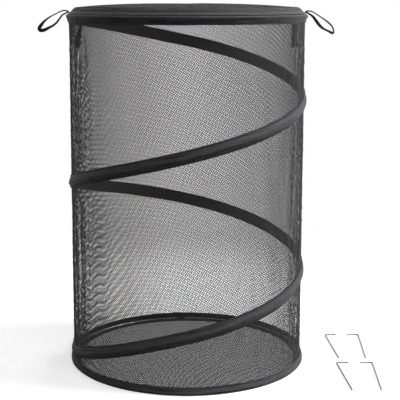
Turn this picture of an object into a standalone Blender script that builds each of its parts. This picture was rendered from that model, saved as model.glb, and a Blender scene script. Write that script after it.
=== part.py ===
"""Pop-up garden net: a tube of netting on two wire hoops and a wire spiral.

It has a zipped net lid, two webbing carrying loops, two tie straps and four
wire ground pegs. Metres, +Z up. The origin is on the net's axis at ground
level, and the front faces -Y. Angles are counted from +X towards +Y.
"""

import math

import bmesh
import bpy
from mathutils import Matrix, Vector

# Driving dimensions
WALL_RADIUS = 0.225
NET_HEIGHT = 0.675
TAPE = 0.0008
GAP = 0.0004
STATIONS = 48
MERGE = 0.000001

# Hoops and the tape bound over them
WIRE_RADIUS = 0.0011
FERRULE_RADIUS = 0.00175
FERRULE_BORE = 0.0014
FERRULE_LENGTH = 0.018
BINDING_DEPTH = 0.0155
BINDING_BULGE = 0.005
BINDING_RIDGE = 0.0051
BINDING_CORNER = 0.0016
BASE_HEM = 0.012
HOOP_RADIUS = WALL_RADIUS + GAP + FERRULE_RADIUS
HOOP_INSET = TAPE + GAP + FERRULE_RADIUS

# Spiral: height of its centre line at each quarter turn, from the left side backwards
SPIRAL_HEIGHTS = (0.668, 0.616, 0.521, 0.432, 0.349, 0.273, 0.189, 0.107, 0.021)
SPIRAL_END_SLOPES = (0.0, -0.03)
SPIRAL_START = math.pi
SLEEVE_REACH = (BINDING_DEPTH + GAP, NET_HEIGHT - BINDING_DEPTH - GAP)
SLEEVE_HALF_WIDTH = 0.0125
SLEEVE_RIDGE = 0.0048
RIDGE_HALF_WIDTH = 0.0014
CAP_RADIUS = 0.00165
CAP_BORE = 0.0013
CAP_END = 0.001
CAP_LENGTH = 0.009
SPIRAL_WIRE_OUT = GAP + CAP_RADIUS
WIRE_TAIL = 0.006

# Netting, drawn coarse: the wall has one opening to every two stations
WALL_ROWS = 6
WALL_STRAND = 0.012
NET_PITCH = 0.038
NET_STRAND = 0.003
NET_THICKNESS = 0.0012
NET_EDGE_SHARE = 0.35
BASE_NET_RADIUS = WALL_RADIUS - BASE_HEM - 0.0008
LID_RISE = 0.008

# Shoulder that carries the zip: a cone that rises inwards from the top hoop
SHOULDER_ANGLE = math.radians(38)
SHOULDER_RADIUS = WALL_RADIUS - 0.0005
SHOULDER_BASE = NET_HEIGHT + GAP
ZIP_LINE = 0.00775
ZIP_HALF_GAP = 0.00015
COIL_WIDTH = 0.0017
COIL_BOTTOM = 0.0011
COIL_TOP = 0.0026
LID_TAPE_END = 0.0169
LID_BINDING_START = 0.0123
LID_NET_START = 0.0176

# Back of the lid, where it is sewn on and the zip ends
BACK = math.radians(90)
SEWN_HALF_ANGLE = math.radians(17)
FREE_HALF_ANGLE = math.radians(22)
HINGE_TAPE_END = 0.014
ZIP_END_ANGLE = SEWN_HALF_ANGLE + math.radians(0.15)
COIL_END_ANGLE = SEWN_HALF_ANGLE + math.radians(1.0)
STOP_ANGLE = SEWN_HALF_ANGLE + math.radians(0.58)
STOP_HALF_ANGLE = math.radians(0.33)
STOP_TOP = 0.0028
PARKED_ANGLE = math.radians(70.5)
LID_AXIS = (0.0, 0.212, NET_HEIGHT + 0.0105)

# Zip slider and its pull
SLIDER_LENGTH = 0.011
SLIDER_INNER = (0.0050, 0.0105)
SLIDER_WALL = 0.001
SLIDER_FLOOR = 0.0013
SLIDER_CEILING = 0.0033
SLIDER_TOP = 0.0043
CROWN_TOP = 0.0069
CROWN_BAR = 0.0009
CROWN_HALF_LENGTH = 0.0036
CROWN_POST = 0.0012
CROWN_WIDTH = 0.0016
CROWN_SINK = 0.0003
PULL_LENGTH = 0.024
PULL_WIDTH = 0.0058
PULL_ARM = 0.001
PULL_THICKNESS = 0.001
PULL_PIVOT = 0.00515
PULL_BAR = 0.0009
PULL_EYE_END = 0.0052

# Carrying loops, sewn on at the top hoop: half of the outline runs out, half back
LOOP_ROOT = (WALL_RADIUS + 0.0025, 0.0, NET_HEIGHT + 0.0045)
LOOP_WIDTH = 0.010
LOOP_THICKNESS = 0.0012
LOOP_OUTLINE = (
    (-0.0015, 0.0),
    (0.0005, 0.0016),
    (0.0118, 0.0008),
    (0.0216, -0.0044),
    (0.0320, -0.0104),
    (0.0420, -0.0175),
    (0.0500, -0.0268),
    (0.0535, -0.0345),
    (0.0455, -0.0362),
    (0.0370, -0.0322),
    (0.0295, -0.0280),
    (0.0225, -0.0212),
    (0.0120, -0.0082),
    (0.0005, -0.0016),
)
LOOP_STEPS = 2

# Tie straps: webbing folded square, hanging inside with its flat side to the front
STRAP_WIDTH = 0.012
STRAP_THICKNESS = 0.0012
STRAP_OUTER = WALL_RADIUS - 0.004
STRAP_INNER = 0.199
STRAP_TOP = NET_HEIGHT - 0.003
STRAP_LENGTH = 0.061

# Ground pegs, laid out on the ground at the right in two mirrored pairs
PEG_RADIUS = 0.0015
PEG_SHAFT = 0.147
PEG_HOOK = 0.024
PEG_ANGLE = math.radians(81)
PEG_BEND = 0.0045
PEG_BEND_STEPS = 5
PEG_LEAN = math.radians(3.3)
PEG_COLUMNS = (0.292, 0.362)
PEG_ROWS = (0.115, -0.056)

# Colour, roughness and metallic value of each kind of material
DARK_TAPE = ((0.030, 0.030, 0.032), 0.78, 0.0)
BLACK_NET = ((0.018, 0.018, 0.019), 0.60, 0.0)
WEBBING = ((0.022, 0.022, 0.024), 0.70, 0.0)
NYLON = ((0.035, 0.035, 0.037), 0.42, 0.0)
SPRING_STEEL = ((0.36, 0.37, 0.38), 0.34, 1.0)
ZINC = ((0.56, 0.57, 0.58), 0.38, 1.0)


def clear_scene():
    for obj in list(bpy.data.objects):
        bpy.data.objects.remove(obj, do_unlink=True)


def material(name, look):
    """A piece's own material, on a Principled BSDF."""
    colour, roughness, metallic = look
    made = bpy.data.materials.new(name)
    made.use_nodes = True
    shader = made.node_tree.nodes["Principled BSDF"]
    shader.inputs["Base Color"].default_value = (*colour, 1.0)
    shader.inputs["Roughness"].default_value = roughness
    shader.inputs["Metallic"].default_value = metallic
    made.diffuse_color = (*colour, 1.0)
    return made


def add_object(name, data, look):
    obj = bpy.data.objects.new(name, data)
    bpy.context.scene.collection.objects.link(obj)
    data.materials.append(material(name, look))
    return obj


def add_shape(name, shape, look, smooth_angle=35.0):
    """Links a bmesh as a node, shaded smooth where it is round."""
    bmesh.ops.recalc_face_normals(shape, faces=shape.faces[:])
    mesh = bpy.data.meshes.new(name)
    shape.to_mesh(mesh)
    shape.free()
    mesh.shade_smooth()
    mesh.set_sharp_from_angle(angle=math.radians(smooth_angle))
    return add_object(name, mesh, look)


def add_wire(name, points, radius, look, closed=False, sides=6):
    """A round wire through the points, as a bevelled curve with filled ends."""
    curve = bpy.data.curves.new(name, "CURVE")
    curve.dimensions = "3D"
    curve.bevel_depth = radius
    curve.bevel_resolution = (sides - 4) // 2
    curve.use_fill_caps = not closed
    line = curve.splines.new("POLY")
    line.points.add(len(points) - 1)
    for place, point in zip(line.points, points):
        place.co = (*point, 1.0)
    line.use_cyclic_u = closed
    line.use_smooth = True
    return add_object(name, curve, look)


def rim_point(radius, angle, height):
    return Vector((radius * math.cos(angle), radius * math.sin(angle), height))


def shoulder_point(along, above, angle):
    """A point of the zip's cone, by its distance in from the hoop and above the cone."""
    cosine, sine = math.cos(SHOULDER_ANGLE), math.sin(SHOULDER_ANGLE)
    radius = SHOULDER_RADIUS - along * cosine + above * sine
    return rim_point(radius, angle, SHOULDER_BASE + along * sine + above * cosine)


def station_angles(first, last):
    """The rings' shared angles between two ends, with the ends themselves."""
    step = 2 * math.pi / STATIONS
    count = range(math.ceil(first / step + 0.01), math.floor(last / step - 0.01) + 1)
    return [first] + [index * step for index in count] + [last]


def spiral_height(quarters):
    """Height of the spiral's centre line after so many quarter turns, on a smooth cubic."""
    last = len(SPIRAL_HEIGHTS) - 1
    step = min(int(quarters), last - 1)
    share = quarters - step

    def slope(index):
        if index in (0, last):
            return SPIRAL_END_SLOPES[index // last]
        return (SPIRAL_HEIGHTS[index + 1] - SPIRAL_HEIGHTS[index - 1]) / 2

    square, cube = share**2, share**3
    level = SPIRAL_HEIGHTS[step] * (2 * cube - 3 * square + 1)
    level += SPIRAL_HEIGHTS[step + 1] * (3 * square - 2 * cube)
    return level + slope(step) * (cube - 2 * square + share) + slope(step + 1) * (cube - square)


def spiral_stations():
    """(angle, height) at each station of the spiral, top to bottom."""
    turns = (len(SPIRAL_HEIGHTS) - 1) / 4
    steps = round(turns * STATIONS)
    shares = [index * 4 / STATIONS for index in range(steps + 1)]
    return [(SPIRAL_START - share * math.pi / 2, spiral_height(share)) for share in shares]


def swept(sections):
    """A solid drawn through matching outlines, with a face at each end."""
    shape = bmesh.new()
    rows = [[shape.verts.new(point) for point in section] for section in sections]
    for row, after in zip(rows, rows[1:]):
        for index in range(len(row)):
            other = (index + 1) % len(row)
            shape.faces.new((row[index], row[other], after[other], after[index]))
    shape.faces.new(rows[0])
    shape.faces.new(rows[-1])
    return shape


def turned(outline, steps=STATIONS, closed=True):
    """A (radius, height) outline spun round the Z axis; an open one starts and ends on it."""
    shape = bmesh.new()
    corners = [shape.verts.new((radius, 0.0, height)) for radius, height in outline]
    after = corners[1:] + corners[:1] if closed else corners[1:]
    edges = [shape.edges.new(pair) for pair in zip(corners, after)]
    bmesh.ops.spin(
        shape,
        geom=corners + edges,
        axis=(0, 0, 1),
        cent=(0, 0, 0),
        angle=2 * math.pi,
        steps=steps,
        use_merge=True,
    )
    bmesh.ops.remove_doubles(shape, verts=shape.verts[:], dist=MERGE)
    return shape


def plate(outline, thickness):
    """A flat outline in the XZ plane, extruded to a thickness centred on it."""
    shape = bmesh.new()
    face = shape.faces.new([shape.verts.new((x, -thickness / 2, z)) for x, z in outline])
    grown = bmesh.ops.extrude_face_region(shape, geom=[face])["geom"]
    moved = [item for item in grown if isinstance(item, bmesh.types.BMVert)]
    bmesh.ops.translate(shape, verts=moved, vec=(0, thickness, 0))
    return shape


def box_outline(low_x, high_x, low_z, high_z):
    return [(low_x, low_z), (high_x, low_z), (high_x, high_z), (low_x, high_z)]


def joint_frame(name, place, parent=None):
    """An empty on a joint's axis. What hangs from it keeps its own place."""
    frame = bpy.data.objects.new(name, None)
    frame.location = place
    frame.empty_display_size = 0.03
    bpy.context.scene.collection.objects.link(frame)
    if parent:
        hang([frame], parent)
    return frame


def hang(pieces, frame):
    for piece in pieces:
        piece.parent = frame
        piece.matrix_parent_inverse = Matrix.Translation(-frame.location)


def cut_or_join(piece, other, operation):
    """A Boolean on a piece with a hidden helper object."""
    other.hide_render = True
    other.display_type = "WIRE"
    modifier = piece.modifiers.new(other.name, "BOOLEAN")
    modifier.operation = operation
    modifier.object = other


def shoulder_band(name, along, above, half_angle, look):
    """A band on the zip's cone, (from, to) along it and above it, open by an angle at the back."""
    corners = box_outline(*along, *above)
    angles = station_angles(BACK + half_angle - 2 * math.pi, BACK - half_angle)
    sections = [[shoulder_point(*corner, angle) for corner in corners] for angle in angles]
    return add_shape(name, swept(sections), look)


def round_net(name, radius, height_at):
    """Square netting cut to a circle, its edge knots drawn out onto the circle."""
    shape = bmesh.new()
    count = math.ceil(radius * math.sqrt(2) / NET_PITCH) * 2
    bmesh.ops.create_grid(shape, x_segments=count, y_segments=count, size=count * NET_PITCH / 2)
    turn = Matrix.Rotation(math.radians(45), 3, "Z")
    bmesh.ops.rotate(shape, verts=shape.verts[:], cent=(0, 0, 0), matrix=turn)
    reach = radius - NET_PITCH * NET_EDGE_SHARE
    outside = [cell for cell in shape.faces if cell.calc_center_median().length > reach]
    bmesh.ops.delete(shape, geom=outside, context="FACES")
    for knot in shape.verts:
        if knot.is_boundary:
            knot.co *= radius / knot.co.length
    meshes = shape.faces[:]
    bmesh.ops.inset_individual(shape, faces=meshes, thickness=NET_STRAND / 2, use_even_offset=True)
    bmesh.ops.delete(shape, geom=meshes, context="FACES_ONLY")
    for knot in shape.verts:
        knot.co.z = height_at(knot.co.length)
    grown = bmesh.ops.extrude_face_region(shape, geom=shape.faces[:])["geom"]
    moved = [item for item in grown if isinstance(item, bmesh.types.BMVert)]
    bmesh.ops.translate(shape, verts=moved, vec=(0, 0, NET_THICKNESS))
    return add_shape(name, shape, BLACK_NET)


def add_binding(name, fold_height, upwards, inner_flange):
    """A tape bound over a hoop: down or up the wall's outside, over the wire and inwards.

    inner_flange lists the corners (radius, distance from the fold) of the
    inner part, from its outer side's end to its inner side's end.
    """
    edge = WALL_RADIUS + GAP
    bulge = WALL_RADIUS + BINDING_BULGE
    outer_side = [
        (edge + TAPE, BINDING_DEPTH),
        (bulge, BINDING_RIDGE),
        (bulge, BINDING_CORNER),
        (bulge - BINDING_CORNER, 0.0),
    ]
    inner_side = [
        (bulge - BINDING_CORNER - TAPE / 4, TAPE),
        (bulge - TAPE, BINDING_CORNER + TAPE / 4),
        (bulge - TAPE, BINDING_RIDGE - TAPE / 4),
        (edge, BINDING_DEPTH),
    ]
    outline = outer_side + inner_flange + inner_side
    direction = 1 if upwards else -1
    shape = turned([(radius, fold_height + direction * depth) for radius, depth in outline])
    return add_shape(name, shape, DARK_TAPE)


def add_hoop(name, height):
    """A spring wire hoop, and the crimped ferrule over its joint at the back."""
    step = 2 * math.pi / STATIONS
    points = [rim_point(HOOP_RADIUS, index * step, height) for index in range(STATIONS)]
    wire = add_wire(name + "_wire", points, WIRE_RADIUS, SPRING_STEEL, closed=True)
    half = FERRULE_LENGTH / 2
    inner, outer = FERRULE_BORE, FERRULE_RADIUS
    outline = [(outer, -half), (outer, half), (inner, half), (inner, -half)]
    ferrule = add_shape(name + "_ferrule", turned(outline, steps=8), ZINC)
    angle = BACK + step / 2
    place = Matrix.Translation(rim_point(HOOP_RADIUS * math.cos(step / 2), angle, height))
    lie_down = Matrix.Rotation(math.radians(90), 4, "X")
    ferrule.matrix_world = place @ Matrix.Rotation(angle, 4, "Z") @ lie_down
    return [wire, ferrule]


def build_base():
    """What stays on the ground: the floor net, its hoop and the hem that binds them."""
    hem_end = WALL_RADIUS - BASE_HEM
    add_binding("base_binding", 0.0, True, [(hem_end, 0.0), (hem_end, TAPE)])
    add_hoop("bottom_hoop", HOOP_INSET)
    round_net("base_net", BASE_NET_RADIUS, lambda radius: 0.0)


def wall_point(station, height):
    """A point of the wall's outer face, which is flat from one station to the next."""
    step = 2 * math.pi / STATIONS
    before = math.floor(station)
    near, far = (rim_point(WALL_RADIUS, index * step, height) for index in (before, before + 1))
    return near.lerp(far, station - before)


def wall_panels():
    """Half a column of the wall's grid: (stations from the openings' middle, height) outlines."""
    facet = 2 * WALL_RADIUS * math.sin(math.pi / STATIONS)
    side = 1 - WALL_STRAND / 2 / facet
    low, high = TAPE + GAP, NET_HEIGHT - TAPE - GAP
    pitch = (NET_HEIGHT - 2 * BINDING_DEPTH + WALL_STRAND) / WALL_ROWS
    sills = [BINDING_DEPTH + row * pitch for row in range(WALL_ROWS)]
    heads = [sill + pitch - WALL_STRAND for sill in sills]
    panels = [[(side, sill), (1, sill), (1, head), (side, head)] for sill, head in zip(sills, heads)]
    for below, above in zip([low] + heads, sills + [high]):
        lower = [(0, below), (1, below)] if below == low else [(0, below), (side, below), (1, below)]
        upper = [(1, above), (0, above)] if above == high else [(1, above), (side, above), (0, above)]
        panels.append(lower + upper)
    return panels


def build_wall():
    """The tube of netting between the two hoops, as a grid of tall openings."""
    shape = bmesh.new()
    for middle in range(0, STATIONS, 2):
        for side in (1, -1):
            for panel in wall_panels():
                places = [wall_point(middle + side * across, height) for across, height in panel[::side]]
                shape.faces.new([shape.verts.new(place) for place in places])
    bmesh.ops.remove_doubles(shape, verts=shape.verts[:], dist=MERGE)
    grown = bmesh.ops.extrude_face_region(shape, geom=shape.faces[:])["geom"]
    inner = [item for item in grown if isinstance(item, bmesh.types.BMVert)]
    share = 1 - TAPE / WALL_RADIUS
    bmesh.ops.scale(shape, verts=inner, vec=(share, share, 1))
    add_shape("wall_net", shape, BLACK_NET)


def sleeve_share(height):
    """(lower edge, share of the full width left) where the tape tucks in beside a binding."""
    low = max(height - SLEEVE_HALF_WIDTH, SLEEVE_REACH[0])
    high = min(height + SLEEVE_HALF_WIDTH, SLEEVE_REACH[1])
    return low, (high - low) / (2 * SLEEVE_HALF_WIDTH)


def spiral_band(name, outline):
    """A band along the spiral; outline is (flat level, rise at the ridge, up from the centre line)."""
    sections = []
    for angle, height in spiral_stations():
        low, share = sleeve_share(height)
        section = []
        for level, rise, up in outline:
            above = low + (up + SLEEVE_HALF_WIDTH) * share
            section.append(rim_point(WALL_RADIUS + level + rise * share, angle, above))
        sections.append(section)
    add_shape(name, swept(sections), DARK_TAPE)


def build_spiral():
    """The spring wire spiral in its sleeve, with the tape that backs the seam inside."""
    half, ridge, rise = SLEEVE_HALF_WIDTH, RIDGE_HALF_WIDTH, SLEEVE_RIDGE - GAP - TAPE
    corners = [(0.0, half), (rise, ridge), (rise, -ridge), (0.0, -half)]
    outer_side = [(GAP + TAPE, risen, up) for risen, up in corners]
    inner_side = [(GAP, risen, up) for risen, up in reversed(corners)]
    spiral_band("spiral_sleeve", outer_side + inner_side)
    back = -TAPE - GAP
    flat = box_outline(back - TAPE, back, -half, half)
    spiral_band("spiral_backing", [(level, 0.0, up) for level, up in flat])
    radius = WALL_RADIUS + SPIRAL_WIRE_OUT
    full = [place for place in spiral_stations() if sleeve_share(place[1])[1] > 1 - MERGE]
    line = [rim_point(radius, *place) for place in full]
    points = line[1:-1]
    tails = {}
    for end, last, beyond in (("top", points[0], line[0]), ("bottom", points[-1], line[-1])):
        outwards = (beyond - last).normalized()
        tails[end] = last + outwards * WIRE_TAIL
        add_cap("spiral_cap_" + end, last + outwards * GAP, outwards)
    add_wire("spiral_wire", [tails["top"], *points, tails["bottom"]], WIRE_RADIUS, SPRING_STEEL)
    print(f"spiral_wire: {1000 * least_gap(points, WIRE_RADIUS):.1f} mm least gap to itself")


def least_gap(points, radius):
    """The least clear distance between two turns of a wire, measured point to point."""
    half_turn = STATIONS // 2
    pairs = [(one, other) for index, one in enumerate(points) for other in points[index + half_turn :]]
    return min((one - other).length for one, other in pairs) - 2 * radius


def add_cap(name, place, outwards):
    """A moulded cap over one end of the spiral wire."""
    outline = [
        (0.0, CAP_LENGTH),
        (CAP_RADIUS, CAP_LENGTH),
        (CAP_RADIUS, 0.0),
        (CAP_BORE, 0.0),
        (CAP_BORE, CAP_LENGTH - CAP_END),
        (0.0, CAP_LENGTH - CAP_END),
    ]
    cap = add_shape(name, turned(outline, steps=8, closed=False), NYLON)
    turn = Vector((0, 0, 1)).rotation_difference(outwards).to_matrix().to_4x4()
    cap.matrix_world = Matrix.Translation(place) @ turn


def build_top(top_frame):
    """The top hoop, the tape bound over it and the zip half that is sewn to it."""
    inner = WALL_RADIUS - TAPE - GAP
    flange = [(inner - TAPE, 0.0), (inner - TAPE, BINDING_DEPTH), (inner, BINDING_DEPTH), (inner, TAPE)]
    pieces = [add_binding("top_binding", NET_HEIGHT, False, flange)]
    pieces += add_hoop("top_hoop", NET_HEIGHT - HOOP_INSET)
    tape_end = ZIP_LINE - ZIP_HALF_GAP
    tape = (0.0, tape_end), (0.0, TAPE)
    coil = (tape_end - COIL_WIDTH, tape_end), (COIL_BOTTOM, COIL_TOP)
    pieces += [
        shoulder_band("zip_outer_tape", *tape, ZIP_END_ANGLE, DARK_TAPE),
        shoulder_band("zip_outer_coil", *coil, COIL_END_ANGLE, NYLON),
        add_hinge_tape(),
        add_stop("zip_stop_start", -1, coil[0]),
        add_stop("zip_stop_end", 1, coil[0]),
    ]
    hang(pieces, top_frame)


def add_hinge_tape():
    """The strip at the back where the lid is sewn to the hoop's binding."""
    corners = box_outline(0.0, HINGE_TAPE_END, 0.0, TAPE)
    angles = station_angles(BACK - SEWN_HALF_ANGLE, BACK + SEWN_HALF_ANGLE)
    sections = [[shoulder_point(*corner, angle) for corner in corners] for angle in angles]
    return add_shape("lid_hinge_tape", swept(sections), DARK_TAPE)


def add_stop(name, side, along):
    """A small stop pressed over one end of the coil."""
    middle = BACK + side * STOP_ANGLE
    corners = box_outline(*along, COIL_BOTTOM, STOP_TOP)
    angles = [middle - STOP_HALF_ANGLE, middle + STOP_HALF_ANGLE]
    sections = [[shoulder_point(*corner, angle) for corner in corners] for angle in angles]
    return add_shape(name, swept(sections), NYLON)


def build_lid(top_frame):
    """The domed net lid, with its half of the zip round the edge."""
    lid_frame = joint_frame("lid_hinge_axis", LID_AXIS, top_frame)
    tape_start = ZIP_LINE + ZIP_HALF_GAP
    rim = shoulder_point(LID_NET_START, 0.0, 0.0)

    def dome(radius):
        return rim.z + LID_RISE * (1 - (radius / rim.x) ** 3)

    tape = (tape_start, LID_TAPE_END), (0.0, TAPE)
    coil = (tape_start, tape_start + COIL_WIDTH), (COIL_BOTTOM, COIL_TOP)
    binding = (LID_BINDING_START, LID_TAPE_END), (COIL_BOTTOM, COIL_BOTTOM + TAPE)
    pieces = [
        shoulder_band("zip_inner_tape", *tape, FREE_HALF_ANGLE, DARK_TAPE),
        shoulder_band("zip_inner_coil", *coil, FREE_HALF_ANGLE, NYLON),
        shoulder_band("lid_binding", *binding, FREE_HALF_ANGLE, DARK_TAPE),
        round_net("lid_net", rim.x, dome),
    ]
    hang(pieces, lid_frame)


def parked_matrix():
    """The parked slider's frame: X across the zip, Y along it and Z up from its face."""
    origin = shoulder_point(ZIP_LINE, 0.0, PARKED_ANGLE)
    across = (shoulder_point(0.0, 0.0, PARKED_ANGLE) - origin).normalized()
    upwards = (shoulder_point(ZIP_LINE, 1.0, PARKED_ANGLE) - origin).normalized()
    turn = Matrix((across, upwards.cross(across), upwards)).transposed()
    return Matrix.Translation(origin) @ turn.to_4x4()


def build_slider(top_frame):
    """The zip slider that rides over both coils, and its pull."""
    travel_frame = joint_frame("zip_travel_axis", (0.0, 0.0, NET_HEIGHT), top_frame)
    low, high = (ZIP_LINE - along for along in reversed(SLIDER_INNER))
    outline = [
        (low - SLIDER_WALL, SLIDER_FLOOR),
        (low, SLIDER_FLOOR),
        (low, SLIDER_CEILING),
        (high, SLIDER_CEILING),
        (high, SLIDER_FLOOR),
        (high + SLIDER_WALL, SLIDER_FLOOR),
        (high + SLIDER_WALL, SLIDER_TOP),
        (low - SLIDER_WALL, SLIDER_TOP),
    ]
    slider = add_shape("zip_slider", plate(outline, SLIDER_LENGTH), ZINC)
    crown = add_shape("slider_crown", plate(crown_outline(), CROWN_WIDTH), ZINC)
    slider.matrix_world = parked_matrix()
    crown.matrix_world = parked_matrix() @ Matrix.Rotation(math.radians(90), 4, "Z")
    cut_or_join(slider, crown, "UNION")
    hang([slider, crown], travel_frame)
    build_pull(travel_frame)


def crown_outline():
    """The arch on the slider that the pull hangs in, seen from its side."""
    foot, post = CROWN_HALF_LENGTH, CROWN_HALF_LENGTH - CROWN_POST
    low, under = SLIDER_TOP - CROWN_SINK, CROWN_TOP - CROWN_BAR
    left = [(-foot, CROWN_TOP), (-foot, low), (-post, low), (-post, under)]
    return left + [(post, under), (post, low), (foot, low), (foot, CROWN_TOP)]


def build_pull(travel_frame):
    """A flat pull whose end bar turns under the slider's arch."""
    pivot = parked_matrix() @ Matrix.Translation((0, 0, PULL_PIVOT))
    pull_frame = joint_frame("pull_axis", pivot.translation, travel_frame)
    half, chamfer = PULL_WIDTH / 2, PULL_WIDTH / 4
    outline = [
        (-half, -PULL_BAR / 2),
        (half, -PULL_BAR / 2),
        (half, PULL_LENGTH - chamfer),
        (half - chamfer, PULL_LENGTH),
        (chamfer - half, PULL_LENGTH),
        (-half, PULL_LENGTH - chamfer),
    ]
    flat = pivot @ Matrix.Rotation(math.radians(-90), 4, "X")
    pull = add_shape("zip_pull", plate(outline, PULL_THICKNESS), ZINC)
    pull.matrix_world = flat
    arm = half - PULL_ARM
    opening = box_outline(-arm, arm, PULL_BAR / 2, PULL_EYE_END)
    eye = add_shape("pull_eye", plate(opening, PULL_LENGTH), ZINC)
    eye.matrix_world = flat
    cut_or_join(pull, eye, "DIFFERENCE")
    hang([pull, eye], pull_frame)


def smooth_closed(points, steps):
    """A closed smooth line through the points, with so many steps between two of them."""
    line = []
    for index in range(len(points)):
        near = [points[(index + shift) % len(points)] for shift in (-1, 0, 1, 2)]
        before, start, end, after = map(Vector, near)
        for step in range(steps):
            share = step / steps
            square, cube = share**2, share**3
            line.append(
                start * (2 * cube - 3 * square + 1)
                + end * (3 * square - 2 * cube)
                + (end - before) / 2 * (cube - 2 * square + share)
                + (after - start) / 2 * (cube - square)
            )
    return line


def add_loop(name, side, top_frame):
    """A webbing carrying loop that stands out from the top hoop and droops by its own weight."""
    shape = bmesh.new()
    line = smooth_closed(LOOP_OUTLINE, LOOP_STEPS)
    knots = [shape.verts.new((x, -LOOP_WIDTH / 2, z)) for x, z in line]
    edges = [shape.edges.new(pair) for pair in zip(knots, knots[1:] + knots[:1])]
    grown = bmesh.ops.extrude_edge_only(shape, edges=edges)["geom"]
    moved = [item for item in grown if isinstance(item, bmesh.types.BMVert)]
    bmesh.ops.translate(shape, verts=moved, vec=(0, LOOP_WIDTH, 0))
    loop = add_shape(name, shape, WEBBING)
    loop.location = (side * LOOP_ROOT[0], LOOP_ROOT[1], LOOP_ROOT[2])
    loop.rotation_euler.z = 0.0 if side > 0 else math.pi
    thicken = loop.modifiers.new("thickness", "SOLIDIFY")
    thicken.thickness = LOOP_THICKNESS
    thicken.offset = 0.0
    thicken.use_even_offset = True
    hang([loop], top_frame)


def add_strap(name, side, top_frame):
    """A tie strap of folded webbing, hung by its top edge beside the wall."""
    fold, length = STRAP_INNER + STRAP_WIDTH, STRAP_LENGTH
    outline = [
        (STRAP_INNER, -length),
        (fold, -length),
        (fold, -STRAP_WIDTH),
        (STRAP_OUTER, -STRAP_WIDTH),
        (STRAP_OUTER, 0.0),
        (STRAP_INNER, 0.0),
    ]
    strap = add_shape(name, plate([(side * x, z) for x, z in outline], STRAP_THICKNESS), WEBBING)
    strap.location.z = STRAP_TOP
    hang([strap], top_frame)


def peg_line(side):
    """Centre line of a peg on the ground, from its hook's end round the bend to its tip."""
    shaft = Vector((side * math.sin(PEG_LEAN), -math.cos(PEG_LEAN), 0.0))
    hook = Matrix.Rotation(side * PEG_ANGLE, 3, "Z") @ shaft
    reach = PEG_BEND / math.tan(PEG_ANGLE / 2)
    centre = (hook + shaft).normalized() * PEG_BEND / math.sin(PEG_ANGLE / 2)
    swing = math.pi - PEG_ANGLE
    spoke = hook * reach - centre
    points = [hook * PEG_HOOK]
    for step in range(PEG_BEND_STEPS + 1):
        turn = Matrix.Rotation(side * swing * step / PEG_BEND_STEPS, 3, "Z")
        points.append(centre + turn @ spoke)
    return points + [shaft * PEG_SHAFT]


def build_pegs():
    """Four bent wire pegs, laid flat with their hooks towards each other."""
    number = 0
    for row in PEG_ROWS:
        for column, side in zip(PEG_COLUMNS, (1, -1)):
            number += 1
            peg = add_wire(f"ground_peg_{number}", peg_line(side), PEG_RADIUS, ZINC, sides=8)
            peg.location = (column, row, PEG_RADIUS)


def main():
    clear_scene()
    build_base()
    build_wall()
    build_spiral()
    top_frame = joint_frame("collapse_axis", (0.0, 0.0, 0.0))
    build_top(top_frame)
    build_lid(top_frame)
    build_slider(top_frame)
    for side, word in ((-1, "left"), (1, "right")):
        add_loop(f"carry_loop_{word}", side, top_frame)
        add_strap(f"tie_strap_{word}", side, top_frame)
    build_pegs()


main()
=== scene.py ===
"""Pop-up garden net: its netting, sewn tapes, zip, webbing and pegs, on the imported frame.

Metres, +Z up. The front faces -Y, and angles are counted from +X towards +Y.
"""

import math

import bpy
import numpy as np
from mathutils import Matrix, Vector


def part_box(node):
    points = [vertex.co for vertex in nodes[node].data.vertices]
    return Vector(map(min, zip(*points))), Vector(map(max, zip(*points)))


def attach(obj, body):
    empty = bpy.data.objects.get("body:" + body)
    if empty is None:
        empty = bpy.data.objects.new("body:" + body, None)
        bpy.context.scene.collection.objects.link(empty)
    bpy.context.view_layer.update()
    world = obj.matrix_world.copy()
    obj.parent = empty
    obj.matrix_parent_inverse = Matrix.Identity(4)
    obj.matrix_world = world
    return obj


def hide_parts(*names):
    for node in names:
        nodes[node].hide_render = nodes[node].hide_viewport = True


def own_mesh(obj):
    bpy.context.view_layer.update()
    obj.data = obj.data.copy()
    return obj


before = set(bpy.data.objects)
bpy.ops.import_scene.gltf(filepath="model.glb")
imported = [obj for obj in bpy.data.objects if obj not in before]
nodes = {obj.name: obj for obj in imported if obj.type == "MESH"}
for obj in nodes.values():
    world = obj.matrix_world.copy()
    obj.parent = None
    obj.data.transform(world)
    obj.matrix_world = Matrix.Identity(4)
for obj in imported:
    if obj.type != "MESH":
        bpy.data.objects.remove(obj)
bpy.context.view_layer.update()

QUARTER = math.pi / 2
TURN = 2 * math.pi

# The tube, and the tape bound over its hoops
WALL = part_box("wall_net")[1].x
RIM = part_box("top_binding")[1].z
TAPE = 0.0008
BINDING_DEPTH = 0.0155
BINDING_SEAM = 0.0134
RING_STEPS = 420
SEAM_STEPS = 721

# Netting: flat strands that cross at right angles, sewn a little off its grain on the wall
STRAND_WIDTH = 0.00082
STRAND_DEPTH = 0.00062
FLOOR_STRAND_DEPTH = 0.00042
STRAND_SPACING = 0.00365
WALL_SLANTS = (math.radians(57), math.radians(-33))
WALL_BANDS = 4
WALL_STEPS = 42
WALL_FOOT = 0.0135
WALL_HEAD = RIM - WALL_FOOT
FLOOR_REACH = 0.2225

# Spiral: height of its centre line at each quarter turn, from the left side backwards
SPIRAL_HEIGHTS = (0.668, 0.616, 0.521, 0.432, 0.349, 0.273, 0.189, 0.107, 0.021)
SPIRAL_END_SLOPES = (0.0, -0.03)
SLEEVE_HALF = 0.0125
SLEEVE_REACH = (0.0159, RIM - 0.0159)
SLEEVE_LEVEL = 0.0009
LINING_LEVEL = -0.0016
SPIRAL_STEPS = 860
SPRING_RADIUS = 0.0011

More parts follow.
